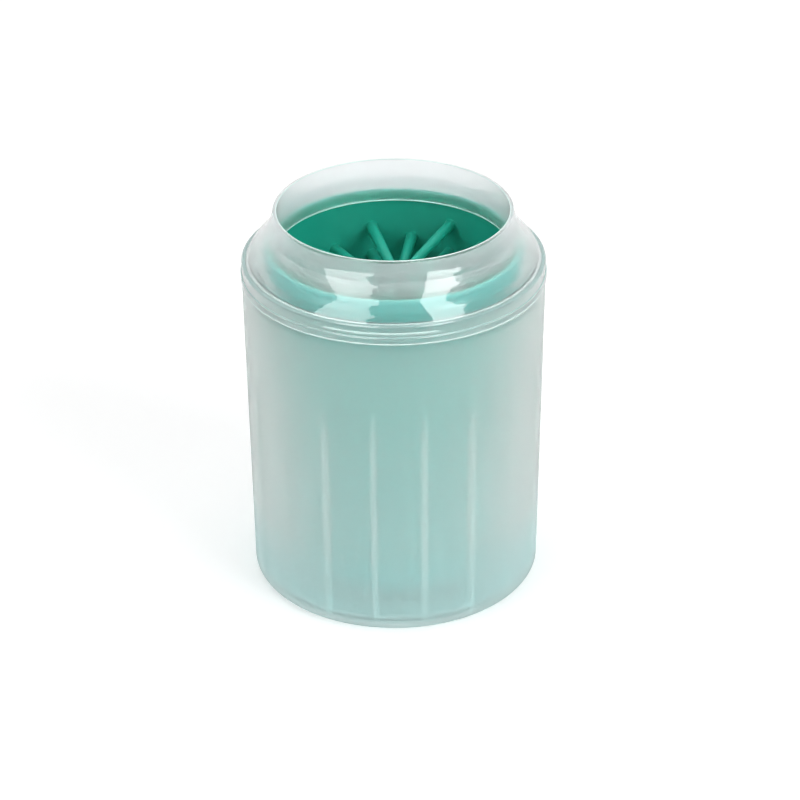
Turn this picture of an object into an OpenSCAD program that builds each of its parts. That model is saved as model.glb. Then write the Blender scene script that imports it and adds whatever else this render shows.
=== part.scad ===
// Paw washer cup. A frosted cup holds the water, a milky collar locks onto its neck
// by a short turn of its bayonet, over a seal ring, and a soft liner hangs from the tube
// inside the collar. Rows of round bristles point in from the liner at the axis.
// The axis is Z and the cup stands on z = 0. Angles are counter-clockwise from +X.

/* [Cup] */
// Outer diameter of the cup just below the collar
cup_d = 109.2; // [91:0.2:131]
// Height of the shoulder on which the neck stands
cup_h = 119.2; // [99:0.2:143]
// How much smaller the radius is at the foot
cup_draft = 1.3; // [0.5:0.1:3]
// Thickness of the side wall
cup_wall = 2.2; // [1.8:0.1:2.6]
// Thickness of the floor
cup_floor = 2.2; // [1.5:0.1:4]
// Radius of the rounded edge around the foot
foot_round = 3; // [1.5:0.5:5]
// Width of the flat ring that the cup stands on
foot_ring_w = 4; // [2.5:0.5:8]
// Depth of the hollow under the floor
foot_hollow = 1; // [0.5:0.1:2]

/* [Ribs in the cup] */
// Number of upright ribs around the wall
rib_n = 18; // [9:1:24]
// Width of one rib
rib_w = 1.6; // [1:0.1:2.4]
// How far a rib stands in from the wall
rib_reach = 1.2; // [0.6:0.1:2]
// Height at which the ribs start to fade into the wall
rib_full_h = 78; // [40:1:88]
// Length over which a rib fades out
rib_fade = 14; // [6:1:16]
// Direction of the first rib
rib_turn = 1.6; // [0:0.1:20]

/* [Bayonet] */
// Height of the neck above the shoulder of the cup
neck_h = 5.4; // [5:0.1:7]
// Step from the side of the cup in to the neck
neck_step = 2.7; // [2.4:0.1:3]
// Thickness of the neck
neck_wall = 1.5; // [1.2:0.1:2]
// Room between the neck and the skirt of the collar, where the lugs slide
lug_room = 1.3; // [1:0.1:1.6]
// Number of lugs on the collar, and of ledges on the neck
lug_n = 3; // [2:1:4]
// Angle that one ledge covers
ledge_arc = 44; // [38:1:44]
// Angle that one lug covers
lug_arc = 38; // [24:1:38]
// Angle of the stop at the closed end of a ledge
stop_arc = 3; // [2:0.5:4]
// Height of a ledge
ledge_t = 1.4; // [1:0.1:1.5]
// Height of a lug
lug_t = 1.1; // [0.8:0.1:1.3]
// Direction of the closed end of the first ledge
ledge_turn = 243; // [180:1:299]

/* [Collar] */
// Thickness of the skirt and of the shoulder
collar_wall = 1.4; // [1.2:0.1:1.8]
// How far the skirt rises past the seat of the seal ring
seat_cover = 0.4; // [0.3:0.1:1.2]
// Height of the proud band along the bottom of the skirt
band_h = 2.75; // [1:0.05:4]
// How far that band stands proud
band_reach = 0.4; // [0.2:0.1:0.8]
// Step from the skirt in to the foot of the shoulder
shoulder_step = 1.5; // [1:0.1:2]
// Radius of the lower, outward curve of the shoulder
shoulder_round = 21; // [19:0.5:24]
// Radius of the upper, inward curve of the shoulder
neck_round = 21; // [19:0.5:24]
// Length of the straight slope between the two curves
slope_l = 2; // [0.5:0.5:6]
// Steepest lean of the shoulder, from upright
slope_a = 42; // [40:1:46]
// Height of the plain neck above the curves
lip_rise = 1.5; // [1:0.1:6]
// Thickness of the lip
lip_wall = 1.3; // [1:0.1:1.8]
// Height from the rim down to the lower edge of the inner tube
tube_h = 17.4; // [16:0.2:18]
// Widening of the inner tube from the rim to its lower edge
tube_draft = 0.55; // [0.2:0.05:0.8]
// Thickness of the inner tube at its lower edge
tube_wall = 1.5; // [1.2:0.1:1.8]

/* [Seal ring] */
// Width of the seal ring
seal_w = 1.5; // [1.2:0.1:1.8]
// Height of the seal ring
seal_t = 1.4; // [1:0.1:1.6]

/* [Liner] */
// Thickness of the liner
liner_wall = 2.2; // [1.6:0.1:2.4]
// Length of liner that is pulled over the inner tube
liner_grip = 3.8; // [2:0.2:4.4]
// Plain length below the tube before the liner narrows
liner_plain = 2; // [1:0.5:4]
// Lean of the liner, from upright
liner_lean = 4.6; // [0:0.1:5.4]
// Height of the lower edge of the liner above the table
liner_z = 8; // [8:1:40]
// Radius of the round bead along the lower edge
hem_r = 2.2; // [1.8:0.1:3]

/* [Bristles] */
// Number of bristles in a row
bristle_n = 9; // [6:1:9]
// Height from one row to the next
row_pitch = 5.6; // [5:0.1:8]
// Depth of the first row below the inner tube
first_row = 9.4; // [7:0.1:14]
// Radius of a bristle at its root
root_r = 2.1; // [1.6:0.05:2.3]
// Radius of a bristle at its tip
tip_r = 1.7; // [1:0.05:1.9]
// Radius of the free channel between the tips
channel_r = 9; // [9:0.5:14]
// Direction of the first bristle in the first row
bristle_turn = 21; // [0:1:40]

/* [Fits] */
// Gap between parts that move past each other
run_gap = 0.3; // [0.2:0.05:0.4]
// Radial gap between the liner and the tube that it grips
grip_gap = 0.1; // [0.05:0.05:0.2]
// How far joined shapes reach into each other
weld = 0.5; // [0.3:0.1:0.8]

/* [Hidden] */
$fn = 180;
bristle_fn = 32;
// How far a cut runs past the face it opens
overcut = 1;
cup_r = cup_d / 2;
foot_r = cup_r - cup_draft;
neck_r = cup_r - neck_step;
neck_in_r = neck_r - neck_wall;
neck_top = cup_h + neck_h;
floor_z = foot_hollow + cup_floor;
// Slope inside the cup that brings the wall in to the neck
throat_h = 3.2;
throat_cover = 0.6;
throat_top = cup_h - throat_cover;
edge_cut = 0.4;

// Bayonet: from the shoulder up come a gap, a lug, a gap and a ledge
skirt_z = cup_h + run_gap;
lug_z = skirt_z;
ledge_z = lug_z + lug_t + run_gap;
ledge_top = ledge_z + ledge_t;
skirt_in_r = neck_r + lug_room;
ledge_r = skirt_in_r - run_gap;
lug_in_r = neck_r + run_gap;
// At rest a lug stands in an entry gap, half a pitch from its locked place
pitch_a = 360 / lug_n;
lock_turn = pitch_a / 2;
stop_slack = 0.5;
lug_start = ledge_turn + stop_arc + stop_slack + lock_turn;

// Collar
seat_reach = 0.4;
bore_drop = 0.2;
skirt_r = skirt_in_r + collar_wall;
seat_z = neck_top + seal_t;
seat_r = neck_r + run_gap;
seat_in_r = neck_in_r - seat_reach;
skirt_top = seat_z + seat_cover;
skirt_bore_top = neck_top - bore_drop;
// The shoulder profile is an outward arc, a straight slope and an inward arc
foot_a = 24;
lip_a = 10;
foot_p = [skirt_r - shoulder_step, skirt_top];
out_c = foot_p - shoulder_round * dir(foot_a);
in_c = out_c + (shoulder_round + neck_round) * dir(slope_a) + slope_l * up_slope(slope_a);
lip_p = in_c - neck_round * dir(lip_a);
lip_round = lip_wall / 2;
lip_h = lip_rise - lip_round;
rim_z = lip_p[1] + lip_rise;
mouth_r = lip_p[0] - lip_h * tan(lip_a) - lip_wall;
tube_z = rim_z - tube_h;
tube_in_r = mouth_r + tube_draft;
tube_r = tube_in_r + tube_wall;
tube_round = tube_wall / 2;

// Seal ring: it lies on the neck, under the seat in the collar
seal_set_back = 0.1;
seal_out_r = neck_r - seal_set_back;

// Liner
liner_top = tube_z + liner_grip;
liner_in_r = tube_r + grip_gap;
lean_z = tube_z - liner_plain;
liner_foot_in_r = liner_r_at(liner_z);

// Bristles
first_z = tube_z - first_row;
hem_room = 2;
last_z = liner_z + 2 * hem_r + root_r + hem_room;
row_n = 1 + floor((first_z - last_z) / row_pitch);

// Unit vector that leans up from level by angle a
function dir(a) = [cos(a), sin(a)];
// Unit vector up a slope whose normal leans up by angle a
function up_slope(a) = [-sin(a), cos(a)];
// Inner radius of the leaning part of the liner at height z
function liner_r_at(z) = liner_in_r - (lean_z - z) * tan(liner_lean);
function row_name(i) = str("bristle_row_", i < 10 ? "0" : "", i);
function row_z(i) = first_z - (i - 1) * row_pitch;

module ring_arc(start, arc, r1, r2, z1, z2) {
    rotate([0, 0, start])
        rotate_extrude(angle = arc)
            translate([r1, z1])
                square([r2 - r1, z2 - z1]);
}

module cup_outline() {
    polygon([
        [0, 0],
        [foot_r - foot_round, 0],
        [foot_r, foot_round],
        [cup_r, cup_h - edge_cut],
        [cup_r - edge_cut, cup_h],
        [neck_r, cup_h],
        [neck_r, neck_top - edge_cut],
        [neck_r - edge_cut, neck_top],
        [0, neck_top]
    ]);
    translate([foot_r - foot_round, foot_round])
        circle(foot_round);
}

module cup_inside() {
    inner_foot_r = foot_r - cup_wall;
    polygon([
        [0, floor_z],
        [inner_foot_r - foot_round, floor_z],
        [inner_foot_r, floor_z + foot_round],
        [cup_r - cup_wall, throat_top - throat_h],
        [neck_in_r, throat_top],
        [neck_in_r, neck_top + overcut],
        [0, neck_top + overcut]
    ]);
    translate([inner_foot_r - foot_round, floor_z + foot_round])
        circle(foot_round);
}

// Side view of one rib, from the floor up along the drafted wall
module rib_outline() {
    function wall_r(z) = foot_r - cup_wall + cup_draft * z / cup_h;
    fade_top = rib_full_h + rib_fade;
    polygon([
        [wall_r(floor_z) - rib_reach, floor_z - weld],
        [wall_r(floor_z) + weld, floor_z - weld],
        [wall_r(fade_top) + weld, fade_top],
        [wall_r(rib_full_h) - rib_reach, rib_full_h]
    ]);
}

module cup() {
    color([0.80, 0.88, 0.87, 0.55]) {
        difference() {
            rotate_extrude() cup_outline();
            rotate_extrude() cup_inside();
            translate([0, 0, -overcut])
                cylinder(h = foot_hollow + overcut, r = foot_r - foot_round - foot_ring_w);
        }
        for (i = [0:rib_n - 1])
            rotate([90, 0, rib_turn + i * 360 / rib_n])
                linear_extrude(rib_w, center = true)
                    rib_outline();
        for (i = [0:lug_n - 1]) {
            start = ledge_turn + i * pitch_a;
            ring_arc(start, ledge_arc, neck_r - weld, ledge_r, ledge_z, ledge_top);
            ring_arc(start, stop_arc, neck_r - weld, ledge_r, cup_h - weld, ledge_z + weld);
        }
    }
}

// Region under the shoulder and the neck, drawn in by t along the surface normal
module shoulder_region(t) {
    low_p = out_c + (shoulder_round - t) * dir(foot_a);
    top_p = out_c + (shoulder_round - t) * dir(slope_a);
    in_low_p = in_c - (neck_round + t) * dir(slope_a);
    in_top_p = in_c - (neck_round + t) * dir(lip_a);
    far = 2 * shoulder_round;
    difference() {
        union() {
            polygon([
                [0, skirt_z],
                [low_p[0], skirt_z],
                low_p,
                top_p,
                in_low_p,
                in_top_p,
                in_top_p + [-lip_h * tan(lip_a), lip_h],
                [0, in_top_p[1] + lip_h]
            ]);
            intersection() {
                translate(out_c) circle(shoulder_round - t);
                polygon([low_p, out_c + far * dir(foot_a), out_c + far * dir(slope_a), top_p]);
            }
        }
        translate(in_c) circle(neck_round + t);
    }
}

module collar_outline() {
    band_r = skirt_r + band_reach;
    shoulder_region(0);
    polygon([
        [0, skirt_z],
        [band_r - edge_cut / 2, skirt_z],
        [band_r, skirt_z + edge_cut / 2],
        [band_r, skirt_z + band_h - band_reach],
        [skirt_r, skirt_z + band_h],
        [skirt_r, skirt_top - edge_cut],
        [skirt_r - edge_cut, skirt_top],
        [0, skirt_top]
    ]);
    translate([mouth_r + lip_round, rim_z - lip_round])
        circle(lip_round);
}

// Everything that is open inside the collar
module collar_inside() {
    below = skirt_z - overcut;
    // The mouth, which widens a little from the rim down
    polygon([
        [0, tube_z - overcut],
        [tube_in_r, tube_z - overcut],
        [tube_in_r, tube_z + tube_round],
        [mouth_r, rim_z - lip_round],
        [mouth_r, rim_z + overcut],
        [0, rim_z + overcut]
    ]);
    // The pocket around the tube, under the shoulder
    difference() {
        intersection() {
            shoulder_region(collar_wall);
            translate([0, below]) square([seat_in_r, rim_z - below]);
        }
        translate([0, tube_z + tube_round]) square([tube_r, rim_z - tube_z]);
    }
    translate([0, below]) square([seat_in_r, tube_z + tube_round - below]);
    // The groove for the seal ring and the bore of the skirt
    polygon([
        [0, below],
        [skirt_in_r, below],
        [skirt_in_r, skirt_bore_top],
        [seat_r, skirt_bore_top + skirt_in_r - seat_r],
        [seat_r, seat_z],
        [0, seat_z]
    ]);
}

module collar() {
    color([0.85, 0.92, 0.91, 0.4]) {
        rotate_extrude() {
            difference() {
                collar_outline();
                collar_inside();
            }
            translate([tube_r - tube_round, tube_z + tube_round])
                circle(tube_round);
        }
        for (i = [0:lug_n - 1])
            ring_arc(lug_start + i * pitch_a, lug_arc, lug_in_r, skirt_in_r + weld, lug_z, lug_z + lug_t);
    }
}

module seal_ring() {
    color([0.93, 0.95, 0.94])
        rotate_extrude()
            translate([seal_out_r - seal_w, neck_top])
                square([seal_w, seal_t]);
}

module liner_outline() {
    foot_out_r = liner_foot_in_r + liner_wall;
    top_round = liner_wall / 2;
    polygon([
        [liner_in_r, liner_top - top_round],
        [liner_in_r, lean_z],
        [liner_foot_in_r, liner_z + hem_r],
        [foot_out_r, liner_z + hem_r],
        [liner_in_r + liner_wall, lean_z],
        [liner_in_r + liner_wall, liner_top - top_round]
    ]);
    translate([liner_in_r + top_round, liner_top - top_round])
        circle(top_round);
    translate([liner_foot_in_r + liner_wall / 2, liner_z + hem_r])
        circle(hem_r);
}

module liner_sleeve() {
    color([0.10, 0.62, 0.50])
        rotate_extrude() liner_outline();
}

// One row of bristles, level, from just inside the liner wall to the free channel
module bristle_row(i) {
    root_at = liner_r_at(row_z(i)) + weld;
    tip_at = channel_r + tip_r;
    offset_a = (i % 2 == 0) ? 180 / bristle_n : 0;
    color([0.13, 0.68, 0.55])
        for (k = [0:bristle_n - 1])
            rotate([0, 0, bristle_turn + offset_a + k * 360 / bristle_n])
                translate([tip_at, 0, row_z(i)]) {
                    rotate([0, 90, 0])
                        cylinder(h = root_at - tip_at, r1 = tip_r, r2 = root_r, $fn = bristle_fn);
                    sphere(tip_r, $fn = bristle_fn);
                }
}

cup();
collar();
seal_ring();
liner_sleeve();
for (i = [1:row_n]) {
    bristle_row(i);
}
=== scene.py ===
from math import atan2, cos, degrees, hypot, pi, radians, sin, tan

import bpy
from mathutils import Matrix, Vector


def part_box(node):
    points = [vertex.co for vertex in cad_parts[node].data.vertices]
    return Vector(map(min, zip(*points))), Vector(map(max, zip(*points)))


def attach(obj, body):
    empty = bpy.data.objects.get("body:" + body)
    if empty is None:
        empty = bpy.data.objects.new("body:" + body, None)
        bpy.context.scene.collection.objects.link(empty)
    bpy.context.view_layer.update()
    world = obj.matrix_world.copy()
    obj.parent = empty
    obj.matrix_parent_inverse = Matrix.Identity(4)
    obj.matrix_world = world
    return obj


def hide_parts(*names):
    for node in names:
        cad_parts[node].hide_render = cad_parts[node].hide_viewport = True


mm = 0.001
joinWithin = 0.002 * mm  # points nearer than this are made one

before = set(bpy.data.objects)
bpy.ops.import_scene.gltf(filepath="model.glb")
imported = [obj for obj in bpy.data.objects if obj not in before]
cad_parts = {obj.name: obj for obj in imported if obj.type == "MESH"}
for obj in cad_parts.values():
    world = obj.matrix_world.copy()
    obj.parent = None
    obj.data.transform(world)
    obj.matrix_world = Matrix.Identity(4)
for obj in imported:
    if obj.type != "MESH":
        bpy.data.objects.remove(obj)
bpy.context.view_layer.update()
print("loaded the model, with", len(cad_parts), "nodes")


class Wire:
    # one output socket, so that shader maths reads as plain arithmetic
    def __init__(self, finish, socket):
        self.finish = finish
        self.socket = socket

    def maths(self, operation, first, second):
        return self.finish.add("ShaderNodeMath", {"operation": operation}, {0: first, 1: second})

    def __add__(self, other):
        return self.maths("ADD", self, other)

    def __sub__(self, other):
        return self.maths("SUBTRACT", self, other)

    def __mul__(self, other):
        return self.maths("MULTIPLY", self, other)


class Finish:
    # one material, built up from an empty node tree
    def __init__(self, name, material=None):
        self.material = material or bpy.data.materials.new(name)
        self.material.use_nodes = True
        self.tree = self.material.node_tree
        self.tree.nodes.clear()

    def add(self, kind, settings, sockets, output=0):
        made = self.tree.nodes.new(kind)
        for key, value in settings.items():
            setattr(made, key, value)
        for key, value in sockets.items():
            if isinstance(value, Wire):
                self.tree.links.new(value.socket, made.inputs[key])
            else:
                made.inputs[key].default_value = value
        return Wire(self, made.outputs[output]) if output is not None else made

    def noise(self, lump, detail=2, stretch=(1, 1, 1)):
        # soft noise in lumps of about this size, in metres
        coords = self.add("ShaderNodeTexCoord", {}, {}, "Object")
        place = self.add("ShaderNodeMapping", {}, {"Vector": coords, "Scale": stretch})
        return self.add("ShaderNodeTexNoise", {}, {"Vector": place, "Scale": 1 / lump, "Detail": detail})

    def place(self):
        # the x, y and z of a point, in metres
        coords = self.add("ShaderNodeTexCoord", {}, {}, "Object")
        split = self.add("ShaderNodeSeparateXYZ", {}, {0: coords}, None)
        return [Wire(self, output) for output in split.outputs]

    def fromAxis(self, x, y):
        # the distance from the axis, in metres
        return self.add("ShaderNodeMath", {"operation": "POWER"}, {0: x * x + y * y, 1: 0.5})

    def ramp(self, value, start, end):
        # rises smoothly from 0 at start to 1 at end
        sockets = {"Value": value, "From Min": start, "From Max": end}
        return self.add("ShaderNodeMapRange", {"interpolation_type": "SMOOTHSTEP"}, sockets)

    def blend(self, share, low, high):
        # either colour can be plain numbers or the result of another blend;
        # 6, 7 and 2 are the mix node's sockets for colours
        low, high = [end if isinstance(end, Wire) else (*end, 1) for end in (low, high)]
        return self.add("ShaderNodeMix", {"data_type": "RGBA"}, {"Factor": share, 6: low, 7: high}, 2)

    def bump(self, height, depth, strength):
        return self.add("ShaderNodeBump", {}, {"Height": height, "Distance": depth, "Strength": strength})

    def done(self, shader):
        self.add("ShaderNodeOutputMaterial", {}, {"Surface": shader}, None)
        return self.material


# the cup: frosted inside and out
frostedCup = {
    "low": (0.86, 0.885, 0.87),
    "high": (0.90, 0.925, 0.91),
    "foot": (0.79, 0.96, 0.955),  # painted light: the green of the liner, shining through the thick foot
    "footGlowFull": 6 * mm,
    "footGlowEnd": 36 * mm,
    "edge": (0.66, 0.80, 0.79),  # painted shade: darker around its lower edge
    "paintedShadeEnd": 7 * mm,
    "clear": 0.86,      # share of the light that goes in and not back
    "roughness": 0.5,
    "roughnessSwing": 0.08,
    "bend": 1.35,       # index of refraction
    "grain": 0.5 * mm,  # size of the spark-eroded texture
    "grainDepth": 0.01 * mm,
    "grainStrength": 0.4,
    "cloud": 24 * mm,   # size of the faint clouds in its colour
}


def makeFrosted():
    look = Finish("frostedPlastic")
    height = look.place()[2]
    # painted light: the liner's green near the foot
    foot = look.ramp(height, frostedCup["footGlowEnd"], frostedCup["footGlowFull"])
    # painted shade along the lower edge
    edge = look.ramp(height, frostedCup["paintedShadeEnd"], 0)
    cloud = look.noise(frostedCup["cloud"], detail=3)
    grain = look.noise(frostedCup["grain"])
    plain = look.blend(cloud, frostedCup["low"], frostedCup["high"])
    sockets = {
        "Base Color": look.blend(edge, look.blend(foot, plain, frostedCup["foot"]), frostedCup["edge"]),
        "Roughness": cloud * frostedCup["roughnessSwing"] + frostedCup["roughness"],
        "IOR": frostedCup["bend"],
        "Transmission Weight": frostedCup["clear"],
        "Normal": look.bump(grain, frostedCup["grainDepth"], frostedCup["grainStrength"]),
    }
    return look.done(look.add("ShaderNodeBsdfPrincipled", {}, sockets))


# the collar: milky inside, polished outside
milkyCollar = {
    "low": (0.94, 0.965, 0.97),
    "high": (0.98, 0.99, 0.99),
    "skirt": (0.90, 0.97, 0.96),  # painted light: the green of the liner, shining through the skirt and shoulder
    "skirtGlowFull": 126 * mm,
    "skirtGlowEnd": 136 * mm,
    "clear": 0.96,      # share of the light that goes in and not back
    "veil": 0.5,        # haze where the wall is seen at a slant
    "veilRoughness": 0.45,
    "roughness": 0.45,
    "roughnessSwing": 0.06,
    "bend": 1.12,       # low, so that its thick corners stay light
    "gloss": 0.015,     # roughness of the polished skin
    "cloud": 18 * mm,
    "flow": 6 * mm,     # length of the faint flow marks
    "flowStretch": (1, 1, 0.4),
    "flowDepth": 0.012 * mm,
    "flowStrength": 0.3,
}


def makeMilky():
    look = Finish("milkyPlastic")
    cloud = look.noise(milkyCollar["cloud"], detail=3)
    flow = look.noise(milkyCollar["flow"], stretch=milkyCollar["flowStretch"])
    # painted light: the liner's green on the skirt and shoulder
    skirt = look.ramp(look.place()[2], milkyCollar["skirtGlowEnd"], milkyCollar["skirtGlowFull"])
    plain = look.blend(cloud, milkyCollar["low"], milkyCollar["high"])
    sockets = {
        "Base Color": look.blend(skirt, plain, milkyCollar["skirt"]),
        "Roughness": cloud * milkyCollar["roughnessSwing"] + milkyCollar["roughness"],
        "IOR": milkyCollar["bend"],
        "Transmission Weight": milkyCollar["clear"],
        "Sheen Weight": milkyCollar["veil"],
        "Sheen Roughness": milkyCollar["veilRoughness"],
        "Coat Weight": 1.0,
        "Coat Roughness": milkyCollar["gloss"],
        "Normal": look.bump(flow, milkyCollar["flowDepth"], milkyCollar["flowStrength"]),
    }
    return look.done(look.add("ShaderNodeBsdfPrincipled", {}, sockets))


# the sleeve of the liner, and the shape it hangs in
sleeve = {
    "wall": 2.2 * mm,
    "lean": 4.6,         # degrees from upright
    "grip": 5.8 * mm,    # height of the part that is stretched over the tube
    "ease": 7 * mm,      # height over which it comes in under the tube
    "steps": 40,         # sections of the wall from its top to the bead
    "bead": 2.2 * mm,    # radius of the bead along the lower edge
    "aboveBead": 2.2,    # where the wall ends above the lower edge, in radii of the bead
    "beadTurn": (42, -222),  # where the bead's outline begins and ends, in degrees
    "beadSteps": 22,
    "lipSteps": 12,      # sections of the round top edge
}

greenSilicone = {
    "low": (0.008, 0.35, 0.25),
    "high": (0.012, 0.42, 0.30),
    "roughness": 0.38,
    "roughnessSwing": 0.12,
    "cloud": 9 * mm,
    "grain": 0.35 * mm,
    "grainDepth": 0.02 * mm,
    "grainStrength": 0.35,
    "bend": 1.41,
}

paleSilicone = dict(greenSilicone, low=(0.78, 0.82, 0.80), high=(0.86, 0.88, 0.87), roughness=0.45)


# painted light on the sleeve: its outside is painted bluer and lighter towards the foot, as it looks
# through the frosted wall, and its stretched top is painted paler
sleevePaintedLight = {
    "outLow": (0.14, 0.50, 0.49),
    "outHigh": (0.01, 0.40, 0.36),
    "lowHeight": 10 * mm,
    "highHeight": 115 * mm,
    "top": (0.18, 0.57, 0.51),
    "topStart": 130.4 * mm,
    "topEnd": 132.6 * mm,
    "soften": 0.3 * mm,  # how far to each side of the wall's middle the two colours mix
}


def paintSleeveLight(look, plain):
    x, y, z = look.place()
    slope = tan(radians(sleeve["lean"]))
    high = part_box("liner_sleeve")[1]
    middle = high.x - sleeve["wall"] / 2 - (high.z - sleeve["grip"]) * slope
    soften = sleevePaintedLight["soften"]
    # painted haze on the outer face: bluer, and lighter towards the foot
    outside = look.ramp(look.fromAxis(x, y) - z * slope, middle - soften, middle + soften)
    rising = look.ramp(z, sleevePaintedLight["lowHeight"], sleevePaintedLight["highHeight"])
    sides = look.blend(outside, plain, look.blend(rising, sleevePaintedLight["outLow"], sleevePaintedLight["outHigh"]))
    # painted light: the top paler
    top = look.ramp(z, sleevePaintedLight["topStart"], sleevePaintedLight["topEnd"])
    return look.blend(top, sides, sleevePaintedLight["top"])


def makeSilicone(name, values, tint=None):
    look = Finish(name)
    cloud = look.noise(values["cloud"], detail=3)
    grain = look.noise(values["grain"])
    colour = look.blend(cloud, values["low"], values["high"])
    sockets = {
        "Base Color": tint(look, colour) if tint else colour,
        "Roughness": cloud * values["roughnessSwing"] + values["roughness"],
        "IOR": values["bend"],
        "Normal": look.bump(grain, values["grainDepth"], values["grainStrength"]),
    }
    return look.done(look.add("ShaderNodeBsdfPrincipled", {}, sockets))


# pale cores of the cup's ribs, in its wall
ribs = {
    "count": 18,
    "turn": 1.6,           # direction of the first rib, in degrees
    "width": 3.4 * mm,
    "depth": (0.5 * mm, 0.8 * mm),   # how deep in the wall its two faces lie
    "low": 3.4 * mm,
    "full": 72 * mm,
    "top": 94 * mm,
    "footRadius": 51.1 * mm,   # inner radius of the cup's wall at the table
    "topRadius": 52.4 * mm,
    "wallHeight": 119.2 * mm,
    "colour": (0.80, 0.90, 0.89),
    "solid": 0.19,         # how solid it looks along its middle
    "fullWidth": 0.1,      # share of the width that is fully solid
    "roughness": 0.5,
    "roughnessSwing": 0.1,
    "cloud": 9 * mm,
}


def makeRibShade():
    look = Finish("ribPlastic")
    x, y, z = look.place()
    angle = look.add("ShaderNodeMath", {"operation": "ARCTAN2"}, {0: y, 1: x})
    ribsPast = angle * (ribs["count"] / (2 * pi)) + (0.5 - ribs["turn"] * ribs["count"] / 360)
    across = look.add("ShaderNodeMath", {"operation": "FRACT"}, {0: ribsPast})
    aside = look.add("ShaderNodeMath", {"operation": "ABSOLUTE"}, {0: across - 0.5})
    edge = ribs["width"] / 2 / (2 * pi * ribs["topRadius"] / ribs["count"])
    lit = look.ramp(aside, edge, ribs["fullWidth"] * edge) * look.ramp(z, ribs["top"], ribs["full"])
    cloud = look.noise(ribs["cloud"])
    sockets = {
        "Base Color": (*ribs["colour"], 1),
        "Roughness": cloud * ribs["roughnessSwing"] + ribs["roughness"],
        "Alpha": lit * ribs["solid"],
    }
    return look.done(look.add("ShaderNodeBsdfPrincipled", {}, sockets))


# painted highlights along edges, and one painted shade line: two shades of each, and what they share
paintedEdgeShades = {
    "bright": [(0.80, 0.95, 0.92), (0.88, 0.98, 0.96)],
    "mint": [(0.52, 0.90, 0.80), (0.64, 0.95, 0.87)],
    # darker, for a painted shade line
    "soft": [(0.22, 0.33, 0.32), (0.27, 0.38, 0.365)],
    "dim": [(0.56, 0.76, 0.73), (0.62, 0.81, 0.78)],
    "cloud": 12 * mm,
    "roughness": 0.25,
    "roughnessSwing": 0.1,
}


def makePaintedEdge(shade):
    look = Finish(shade + "Edge")
    cloud = look.noise(paintedEdgeShades["cloud"])
    sockets = {
        "Base Color": look.blend(cloud, *paintedEdgeShades[shade]),
        "Roughness": cloud * paintedEdgeShades["roughnessSwing"] + paintedEdgeShades["roughness"],
    }
    return look.done(look.add("ShaderNodeBsdfPrincipled", {}, sockets))


# a milky layer inside the wall of the collar's tube, fading downwards
tubeCore = {
    "inner": (42.65 * mm, 42.05 * mm),  # inner radius at its foot and at its top
    "thick": 0.3 * mm,
    "low": 128.8 * mm,
    "high": 144.3 * mm,
    "fadeEnd": 137 * mm,   # it is at its most solid from here up
    "colour": (0.89, 0.91, 0.95),
    "solid": 0.14,
    "roughness": 0.6,
    "roughnessSwing": 0.1,
    "cloud": 14 * mm,
}


def makeCoreShade():
    look = Finish("milkyCore")
    height = look.place()[2]
    cloud = look.noise(tubeCore["cloud"])
    sockets = {
        "Base Color": (*tubeCore["colour"], 1),
        "Roughness": cloud * tubeCore["roughnessSwing"] + tubeCore["roughness"],
        "Alpha": look.ramp(height, tubeCore["low"], tubeCore["fadeEnd"]) * tubeCore["solid"],
    }
    return look.done(look.add("ShaderNodeBsdfPrincipled", {}, sockets))


finishes = {
    "cup": makeFrosted(),
    "collar": makeMilky(),
    "sleeve": makeSilicone("sleeveSilicone", greenSilicone, paintSleeveLight),
    "bristle": makeSilicone("bristleSilicone", greenSilicone),
    "rib": makeRibShade(),
    "bright": makePaintedEdge("bright"),
    "mint": makePaintedEdge("mint"),
    "soft": makePaintedEdge("soft"),
    "dim": makePaintedEdge("dim"),
    "core": makeCoreShade(),
    "seal": makeSilicone("paleSilicone", paleSilicone),
}
print("made", len(finishes), "finishes")


def wear(piece, material):
    piece.data.materials.clear()
    piece.data.materials.append(material)


for node in ("cup", "collar"):
    wear(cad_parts[node], finishes[node])


def startPiece(name):
    piece = bpy.context.object
    piece.name = name
    piece.data.name = name
    bpy.ops.object.transform_apply(location=True, rotation=True, scale=True)
    bpy.ops.object.mode_set(mode="EDIT")
    bpy.ops.mesh.select_all(action="SELECT")
    return piece


def endPiece(piece, material, sharpest):
    bpy.ops.mesh.select_all(action="SELECT")
    bpy.ops.mesh.remove_doubles(threshold=joinWithin)
    bpy.ops.mesh.normals_make_consistent(inside=False)
    bpy.ops.object.mode_set(mode="OBJECT")
    bpy.ops.object.shade_smooth_by_angle(angle=radians(sharpest))
    wear(piece, material)


def drawOutline(name, outline, aside=0):
    # outline is a closed line of (radius, height) points, drawn this far to the side of the axis
    points = [Vector((radius, aside, height)) for radius, height in outline]
    bpy.ops.object.select_all(action="DESELECT")
    bpy.ops.mesh.primitive_plane_add(size=1 * mm)
    piece = startPiece(name)
    bpy.ops.mesh.merge(type="CENTER")
    bpy.ops.transform.translate(value=points[0])
    for here, there in zip(points, points[1:] + points[:1]):
        bpy.ops.mesh.extrude_vertices_move(TRANSFORM_OT_translate={"value": there - here})
    bpy.ops.mesh.select_all(action="SELECT")
    bpy.ops.mesh.remove_doubles(threshold=joinWithin)
    return piece


def spinOutline(name, outline, material, steps=120, sharpest=60):
    # the outline turned once around the axis
    piece = drawOutline(name, outline)
    bpy.ops.mesh.spin(steps=steps, angle=2 * pi, center=(0, 0, 0), axis=(0, 0, 1))
    endPiece(piece, material, sharpest)
    return piece


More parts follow.
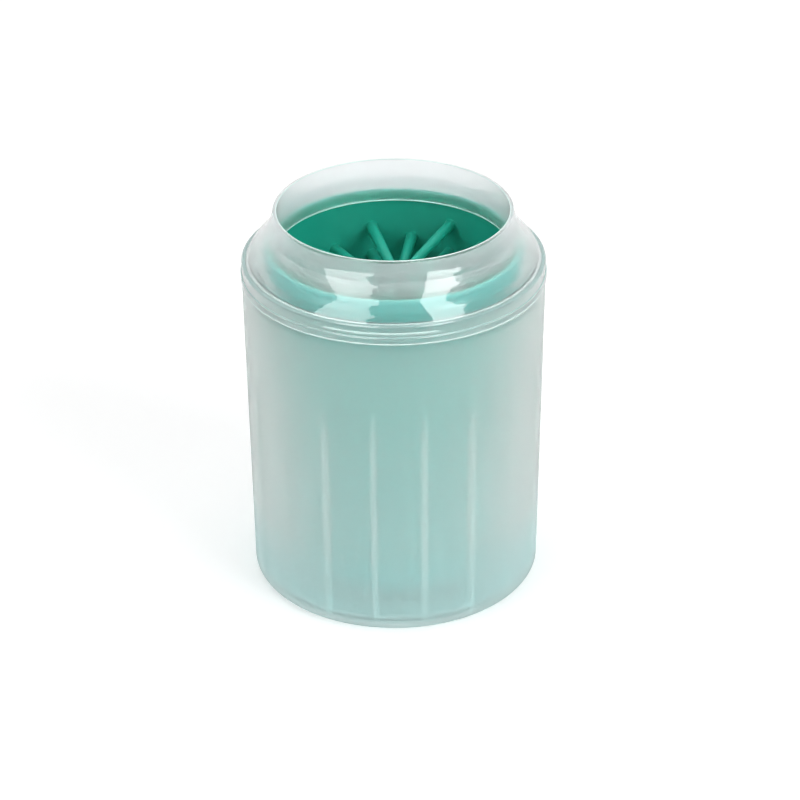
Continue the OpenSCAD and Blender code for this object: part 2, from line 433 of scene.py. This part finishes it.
def copyAround(count, first):
    # turns what is selected to the first direction, in degrees, and sets copies around the axis;
    # with no window a positive value turns clockwise
    bpy.ops.transform.rotate(value=-radians(first), orient_axis="Z", center_override=(0, 0, 0))
    bpy.ops.mesh.spin(
        dupli=True, steps=count - 1, angle=radians(360 - 360 / count), center=(0, 0, 0), axis=(0, 0, 1))


def arc(centre, radius, first, last, count):
    # points on an arc from one angle to another, in degrees
    turns = [radians(first + (last - first) * i / count) for i in range(count + 1)]
    return [(centre[0] + radius * cos(a), centre[1] + radius * sin(a)) for a in turns]


def sleeveRadius(z):
    # inner radius at a height: straight on the tube, then easing into the lean
    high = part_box("liner_sleeve")[1]
    top = high.x - sleeve["wall"]
    bend = high.z - sleeve["grip"]
    drop = bend - z
    half = sleeve["ease"] / 2
    if drop <= -half:
        fall = 0
    elif drop >= half:
        fall = drop
    else:
        fall = (drop + half) ** 2 / (4 * half)
    return top - fall * tan(radians(sleeve["lean"]))


def makeSleeve():
    low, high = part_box("liner_sleeve")
    lip = sleeve["wall"] / 2
    middle = sleeveRadius(low.z + sleeve["bead"]) + lip
    tall = high.z - lip - low.z - sleeve["aboveBead"] * sleeve["bead"]
    heights = [high.z - lip - tall * i / sleeve["steps"] for i in range(sleeve["steps"] + 1)]
    outer = [(sleeveRadius(z) + sleeve["wall"], z) for z in heights]
    inner = [(sleeveRadius(z), z) for z in reversed(heights)]
    hem = arc((middle, low.z + sleeve["bead"]), sleeve["bead"], *sleeve["beadTurn"], sleeve["beadSteps"])
    top = arc((sleeveRadius(high.z) + lip, high.z - lip), lip, 180, 0, sleeve["lipSteps"])[1:-1]
    piece = spinOutline("linerSleeve", outer + hem + inner + top, finishes["sleeve"])
    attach(piece, "liner_body")
    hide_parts("liner_sleeve")


bristle = {
    "count": 9,
    "turn": 21,            # direction of the first bristle, in degrees
    "root": 2.1 * mm,      # radius at the foot of the straight part
    "tip": 1.7 * mm,       # radius of the round tip
    "channel": 9 * mm,     # free radius between the tips
    "sunk": 0.5 * mm,      # how far the foot goes into the sleeve
    "sidesNear": 20,       # sides of a bristle in the rows that can be seen from above
    "sidesFar": 12,
    "rowsNear": 4,
    "roundNear": (22, 45, 66),  # angles at which the round tip has its rings
    "roundFar": (35, 65),
    "sharpest": 40,        # edges sharper than this many degrees are not smoothed
    # the flare at the foot: distance in from the wall and extra radius
    "flare": [(0.0, 0.25), (0.25, 0.1), (0.7, 0.03), (1.4, 0.0)],
    # how far each tip strays to one side, in mm; the list moves on from row to row
    "stray": [0.8, -2.1, -0.65, 0.9, -1.2, -0.55, 1.4, 0.3, -1.5],
    "shift": 4,
    "askew": (0.084, -0.012),  # rise of the rows along x and y, as the soft liner sits
}


def strayBristles(piece, row, turn, wall):
    count = bristle["count"]
    step = 360 / count
    for point in piece.data.vertices:
        x, y = point.co.xy
        number = round((degrees(atan2(y, x)) - turn) / step) % count
        out = (wall - hypot(x, y)) / (wall - bristle["channel"])
        stray = bristle["stray"][(number + bristle["shift"] * (row - 1)) % count] * mm * out
        side = radians(turn + number * step + 90)
        rise = x * bristle["askew"][0] + y * bristle["askew"][1]
        point.co += Vector((stray * cos(side), stray * sin(side), rise))


def makeBristles(row):
    low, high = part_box(f"bristle_row_{row:02d}")
    height = (low.z + high.z) / 2
    wall = sleeveRadius(height)
    tipAt = bristle["channel"] + bristle["tip"]
    near = row <= bristle["rowsNear"]
    sides = bristle["sidesNear"] if near else bristle["sidesFar"]

    def straight(x):
        return bristle["tip"] + (bristle["root"] - bristle["tip"]) * (x - tipAt) / (wall - tipAt)

    rings = [(wall + bristle["sunk"], bristle["root"] + bristle["flare"][0][1] * mm)]
    for reach, extra in bristle["flare"][0 if near else 1:]:
        rings.append((wall - reach * mm, straight(wall - reach * mm) + extra * mm))
    rings.append((tipAt, bristle["tip"]))
    for a in bristle["roundNear"] if near else bristle["roundFar"]:
        rings.append((tipAt - bristle["tip"] * sin(radians(a)), bristle["tip"] * cos(radians(a))))

    bpy.ops.object.select_all(action="DESELECT")
    bpy.ops.mesh.primitive_circle_add(
        vertices=sides, radius=rings[0][1], fill_type="NGON",
        location=(rings[0][0], 0, height), rotation=(0, -pi / 2, 0))
    piece = startPiece(f"bristleRow{row:02d}")
    for (x, radius), (nextX, nextRadius) in zip(rings, rings[1:]):
        bpy.ops.mesh.extrude_region_move(TRANSFORM_OT_translate={"value": (nextX - x, 0, 0)})
        grow = nextRadius / radius
        bpy.ops.transform.resize(value=(1, grow, grow), center_override=(nextX, 0, height))
    bpy.ops.mesh.extrude_region_move(
        TRANSFORM_OT_translate={"value": (bristle["channel"] - rings[-1][0], 0, 0)})
    bpy.ops.mesh.merge(type="CENTER")
    bpy.ops.mesh.select_all(action="SELECT")
    step = 360 / bristle["count"]
    turn = bristle["turn"] + (step / 2 if row % 2 == 0 else 0)
    copyAround(bristle["count"], turn)
    endPiece(piece, finishes["bristle"], bristle["sharpest"])
    strayBristles(piece, row, turn, wall)
    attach(piece, "liner_body")
    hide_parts(f"bristle_row_{row:02d}")


sealBead = {
    "width": 1.5 * mm,
    "round": 0.45 * mm,  # radius of its corners
    "steps": 5,          # sections of each corner
}


def makeSeal():
    low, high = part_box("seal_ring")
    outer, width, r = high.x, sealBead["width"], sealBead["round"]
    corners = [(outer - r, low.z + r, -90), (outer - r, high.z - r, 0),
               (outer - width + r, high.z - r, 90), (outer - width + r, low.z + r, 180)]
    outline = []
    for x, z, first in corners:
        outline += arc((x, z), r, first, first + 90, sealBead["steps"])
    piece = spinOutline("sealBead", outline, finishes["seal"])
    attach(piece, "seal_body")
    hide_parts("seal_ring")


def makeRibs():
    def wallRadius(z):
        return ribs["footRadius"] + (ribs["topRadius"] - ribs["footRadius"]) * z / ribs["wallHeight"]

    inner, outer = ribs["depth"]
    outline = [(wallRadius(z) + depth, z) for z, depth in (
        (ribs["low"], inner), (ribs["top"], inner), (ribs["top"], outer), (ribs["low"], outer))]
    piece = drawOutline("ribCores", outline, -ribs["width"] / 2)
    bpy.ops.mesh.edge_face_add()
    bpy.ops.mesh.extrude_region_move(TRANSFORM_OT_translate={"value": (0, ribs["width"], 0)})
    bpy.ops.mesh.select_all(action="SELECT")
    copyAround(ribs["count"], ribs["turn"])
    endPiece(piece, finishes["rib"], sharpest=30)
    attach(piece, "cup_body")


# painted highlight rings on the lit edges of the collar: radius, height and half the thickness in mm, and
# shade
collarHighlights = {
    "tubeEdgeHighlight": (42.5, 128.1, 0.30, "mint"),
    "rimEdgeHighlight": (41.75, 145.07, 0.22, "bright"),
    "bandTopHighlight": (54.75, 122.2, 0.16, "dim"),
    "bandFootHighlight": (54.76, 119.65, 0.23, "bright"),
}
edgeSides = {"around": 180, "across": 8}


# painted shade: a soft dark ring just under the step at the top of the skirt
skirtTopShade = {
    "reach": (52.9 * mm, 54.35 * mm),  # inner and outer radius
    "high": 126.15 * mm,
    "thick": 0.25 * mm,
}


def makeSkirtTopShade():
    inner, outer = skirtTopShade["reach"]
    high = skirtTopShade["high"]
    low = high - skirtTopShade["thick"]
    outline = [(inner, low), (outer, low), (outer, high), (inner, high)]
    piece = spinOutline("skirtTopShade", outline, finishes["soft"])
    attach(piece, "collar_body")


# painted highlights on the lit edges of the ledges on the cup's neck
ledgeShine = {
    "count": 3,
    "start": 243,       # direction in which the first begins, in degrees
    "arc": 44,
    "steps": 24,        # sections along each
    "sides": 8,
    "radius": 52.84 * mm,
    "height": 122.9 * mm,
    "half": 0.3 * mm,   # half its thickness
}


def makeLedgeGlints():
    bpy.ops.object.select_all(action="DESELECT")
    bpy.ops.mesh.primitive_circle_add(
        vertices=ledgeShine["sides"], radius=ledgeShine["half"], fill_type="NGON",
        location=(ledgeShine["radius"], 0, ledgeShine["height"]), rotation=(pi / 2, 0, 0))
    piece = startPiece("ledgeGlints")
    bpy.ops.mesh.spin(
        steps=ledgeShine["steps"], angle=-radians(ledgeShine["arc"]), center=(0, 0, 0), axis=(0, 0, 1))
    bpy.ops.mesh.select_all(action="SELECT")
    copyAround(ledgeShine["count"], ledgeShine["start"])
    endPiece(piece, finishes["bright"], sharpest=60)
    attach(piece, "cup_body")


def makeCore():
    foot, top = tubeCore["inner"]
    thick, low, high = tubeCore["thick"], tubeCore["low"], tubeCore["high"]
    outline = [(foot, low), (top, high), (top + thick, high), (foot + thick, low)]
    piece = spinOutline("tubeCore", outline, finishes["core"])
    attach(piece, "collar_body")


def makeCollarHighlights():
    for name, (radius, height, half, shade) in collarHighlights.items():
        bpy.ops.object.select_all(action="DESELECT")
        bpy.ops.mesh.primitive_torus_add(
            major_radius=radius * mm, minor_radius=half * mm, location=(0, 0, height * mm),
            major_segments=edgeSides["around"], minor_segments=edgeSides["across"])
        piece = startPiece(name)
        endPiece(piece, finishes[shade], sharpest=60)
        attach(piece, "collar_body")


makeSleeve()
makeSeal()
rowCount = sum(name.startswith("bristle_row_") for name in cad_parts)
for row in range(1, rowCount + 1):
    makeBristles(row)
makeRibs()
makeCollarHighlights()
makeLedgeGlints()
makeCore()
makeSkirtTopShade()
print("made the liner, the seal and", rowCount, "rows of bristles")


def seen(look):
    # 1 for the rays that show the background, 0 for those that only carry light
    path = look.add("ShaderNodeLightPath", {}, {}, None)
    shows = [Wire(look, path.outputs[n]) for n in ("Is Camera Ray", "Is Glossy Ray", "Is Transmission Ray")]
    return look.add("ShaderNodeMath", {"operation": "MINIMUM"}, {0: shows[0] + shows[1] + shows[2], 1: 1.0})


studio = {
    "sky": 0.42,        # strength of the light from all round
    "floor": 0.86,      # how pale the floor is
    "floorLift": 0.32,  # what is added to it where it is seen near the cup
    "farLift": 0.62,    # and far from it
    "near": 0.3,        # distances from the cup, in metres, between which the lift changes
    "far": 1.6,
    "floorSize": 6,
}


def makeStudio():
    world = bpy.data.worlds.new("studio")
    bpy.context.scene.world = world
    look = Finish("studio", world)
    strength = seen(look) * (1 - studio["sky"]) + studio["sky"]
    sky = look.add("ShaderNodeBackground", {}, {"Color": (1, 1, 1, 1), "Strength": strength})
    look.add("ShaderNodeOutputWorld", {}, {"Surface": sky}, None)

    bpy.ops.object.select_all(action="DESELECT")
    bpy.ops.mesh.primitive_plane_add(size=studio["floorSize"])
    floor = bpy.context.object
    floor.name = "floor"
    look = Finish("paleFloor")
    pale = studio["floor"]
    matt = look.add("ShaderNodeBsdfDiffuse", {}, {"Color": (pale, pale, pale, 1)})
    distance = look.fromAxis(*look.place()[:2])
    rise = look.ramp(distance, studio["near"], studio["far"]) * (studio["farLift"] - studio["floorLift"])
    lift = look.add("ShaderNodeEmission", {}, {"Strength": seen(look) * (rise + studio["floorLift"])})
    wear(floor, look.done(look.add("ShaderNodeAddShader", {}, {0: matt, 1: lift})))


# soft lamps: where each stands, its size in metres and its power in watts
lamps = {
    "lampRight": {"at": (1.15, -1.0, 0.95), "size": 0.9, "power": 12},
    "lampLeft": {"at": (-1.2, -0.9, 1.0), "size": 0.9, "power": 5.5},
    "lampTop": {"at": (0, 0.3, 1.7), "size": 1.2, "power": 9},
}
lampAim = (0, 0, 0.08)


def makeLamps():
    for name, lamp in lamps.items():
        bpy.ops.object.select_all(action="DESELECT")
        bpy.ops.object.light_add(type="AREA", location=lamp["at"])
        light = bpy.context.object
        light.name = name
        light.data.energy = lamp["power"]
        light.data.shape = "SQUARE"
        light.data.size = lamp["size"]
        aim = Vector(lampAim) - Vector(lamp["at"])
        light.rotation_euler = aim.to_track_quat("-Z", "Y").to_euler()
        light.visible_glossy = False
        light.visible_camera = False


# lit cards that only show in gloss: the turns of their two sides at the top and at the foot,
# the lifts of the foot and the top, and how far the second side waves, in degrees
cards = {
    "cardLeft": {"top": (-53, -18), "foot": (-62, -20), "lifts": (7, 64), "strength": 7.5, "wave": 3.5},
    "cardRight": {"top": (26, 53), "foot": (30, 57), "lifts": (7, 64), "strength": 10, "wave": 3.5},
}
cardSheet = {
    "away": 1.0,         # metres from the centre
    "centre": (0, 0, 0.13),
    "across": 24,        # how finely it is divided
    "up": 48,
    "slow": 0.25,        # how fast the two waves run, in radians per degree of lift
    "quick": 0.62,
    "quickShare": 0.5,   # height of the quick wave against the slow one
    "quickStart": 1,
}


def makeCards():
    for name, card in cards.items():
        look = Finish(name)
        glow = look.add("ShaderNodeEmission", {}, {"Strength": card["strength"]})
        bpy.ops.object.select_all(action="DESELECT")
        bpy.ops.mesh.primitive_grid_add(
            x_subdivisions=cardSheet["across"], y_subdivisions=cardSheet["up"], size=2)
        piece = bpy.context.object
        piece.name = name
        for point in piece.data.vertices:
            # the grid runs from -1 to 1 both ways
            across, up = (point.co.x + 1) / 2, (point.co.y + 1) / 2
            lift = card["lifts"][0] + (card["lifts"][1] - card["lifts"][0]) * up
            near, far = [foot + (top - foot) * up for foot, top in zip(card["foot"], card["top"])]
            turn = near + (far - near) * across
            quick = cardSheet["quickShare"] * sin(lift * cardSheet["quick"] + cardSheet["quickStart"])
            turn += card["wave"] * across * (sin(lift * cardSheet["slow"]) + quick)
            level = cos(radians(lift))
            way = Vector((sin(radians(turn)) * level, -cos(radians(turn)) * level, sin(radians(lift))))
            point.co = Vector(cardSheet["centre"]) + way * cardSheet["away"]
        wear(piece, look.done(glow))
        for kind in ("camera", "diffuse", "transmission", "volume_scatter", "shadow"):
            setattr(piece, "visible_" + kind, False)


camera = {
    "lift": 29.709,      # degrees above level
    "roll": -0.4235,
    "away": 1.0,
    "target": (1.94 * mm, 0, 66.64 * mm),
    "lens": 121.76,      # and the sensor's width, both in mm
    "sensor": 36,
    "nearest": 0.01,
}


def makeCamera():
    lift, roll = radians(camera["lift"]), radians(camera["roll"])
    ahead = Vector((0, cos(lift), -sin(lift)))
    up = Vector((0, sin(lift), cos(lift)))
    side = Vector((1, 0, 0))
    across = cos(roll) * side + sin(roll) * up
    upright = cos(roll) * up - sin(roll) * side
    place = Vector(camera["target"]) - ahead * camera["away"]
    bpy.ops.object.camera_add()
    eye = bpy.context.object
    eye.data.lens = camera["lens"]
    eye.data.sensor_width = camera["sensor"]
    eye.data.clip_start = camera["nearest"]
    turned = Matrix((across, upright, -ahead)).transposed().to_4x4()
    eye.matrix_world = Matrix.Translation(place) @ turned
    bpy.context.scene.camera = eye


makeStudio()
makeLamps()
makeCards()
makeCamera()
bpy.context.scene.view_settings.view_transform = "Standard"
print("set up the studio")
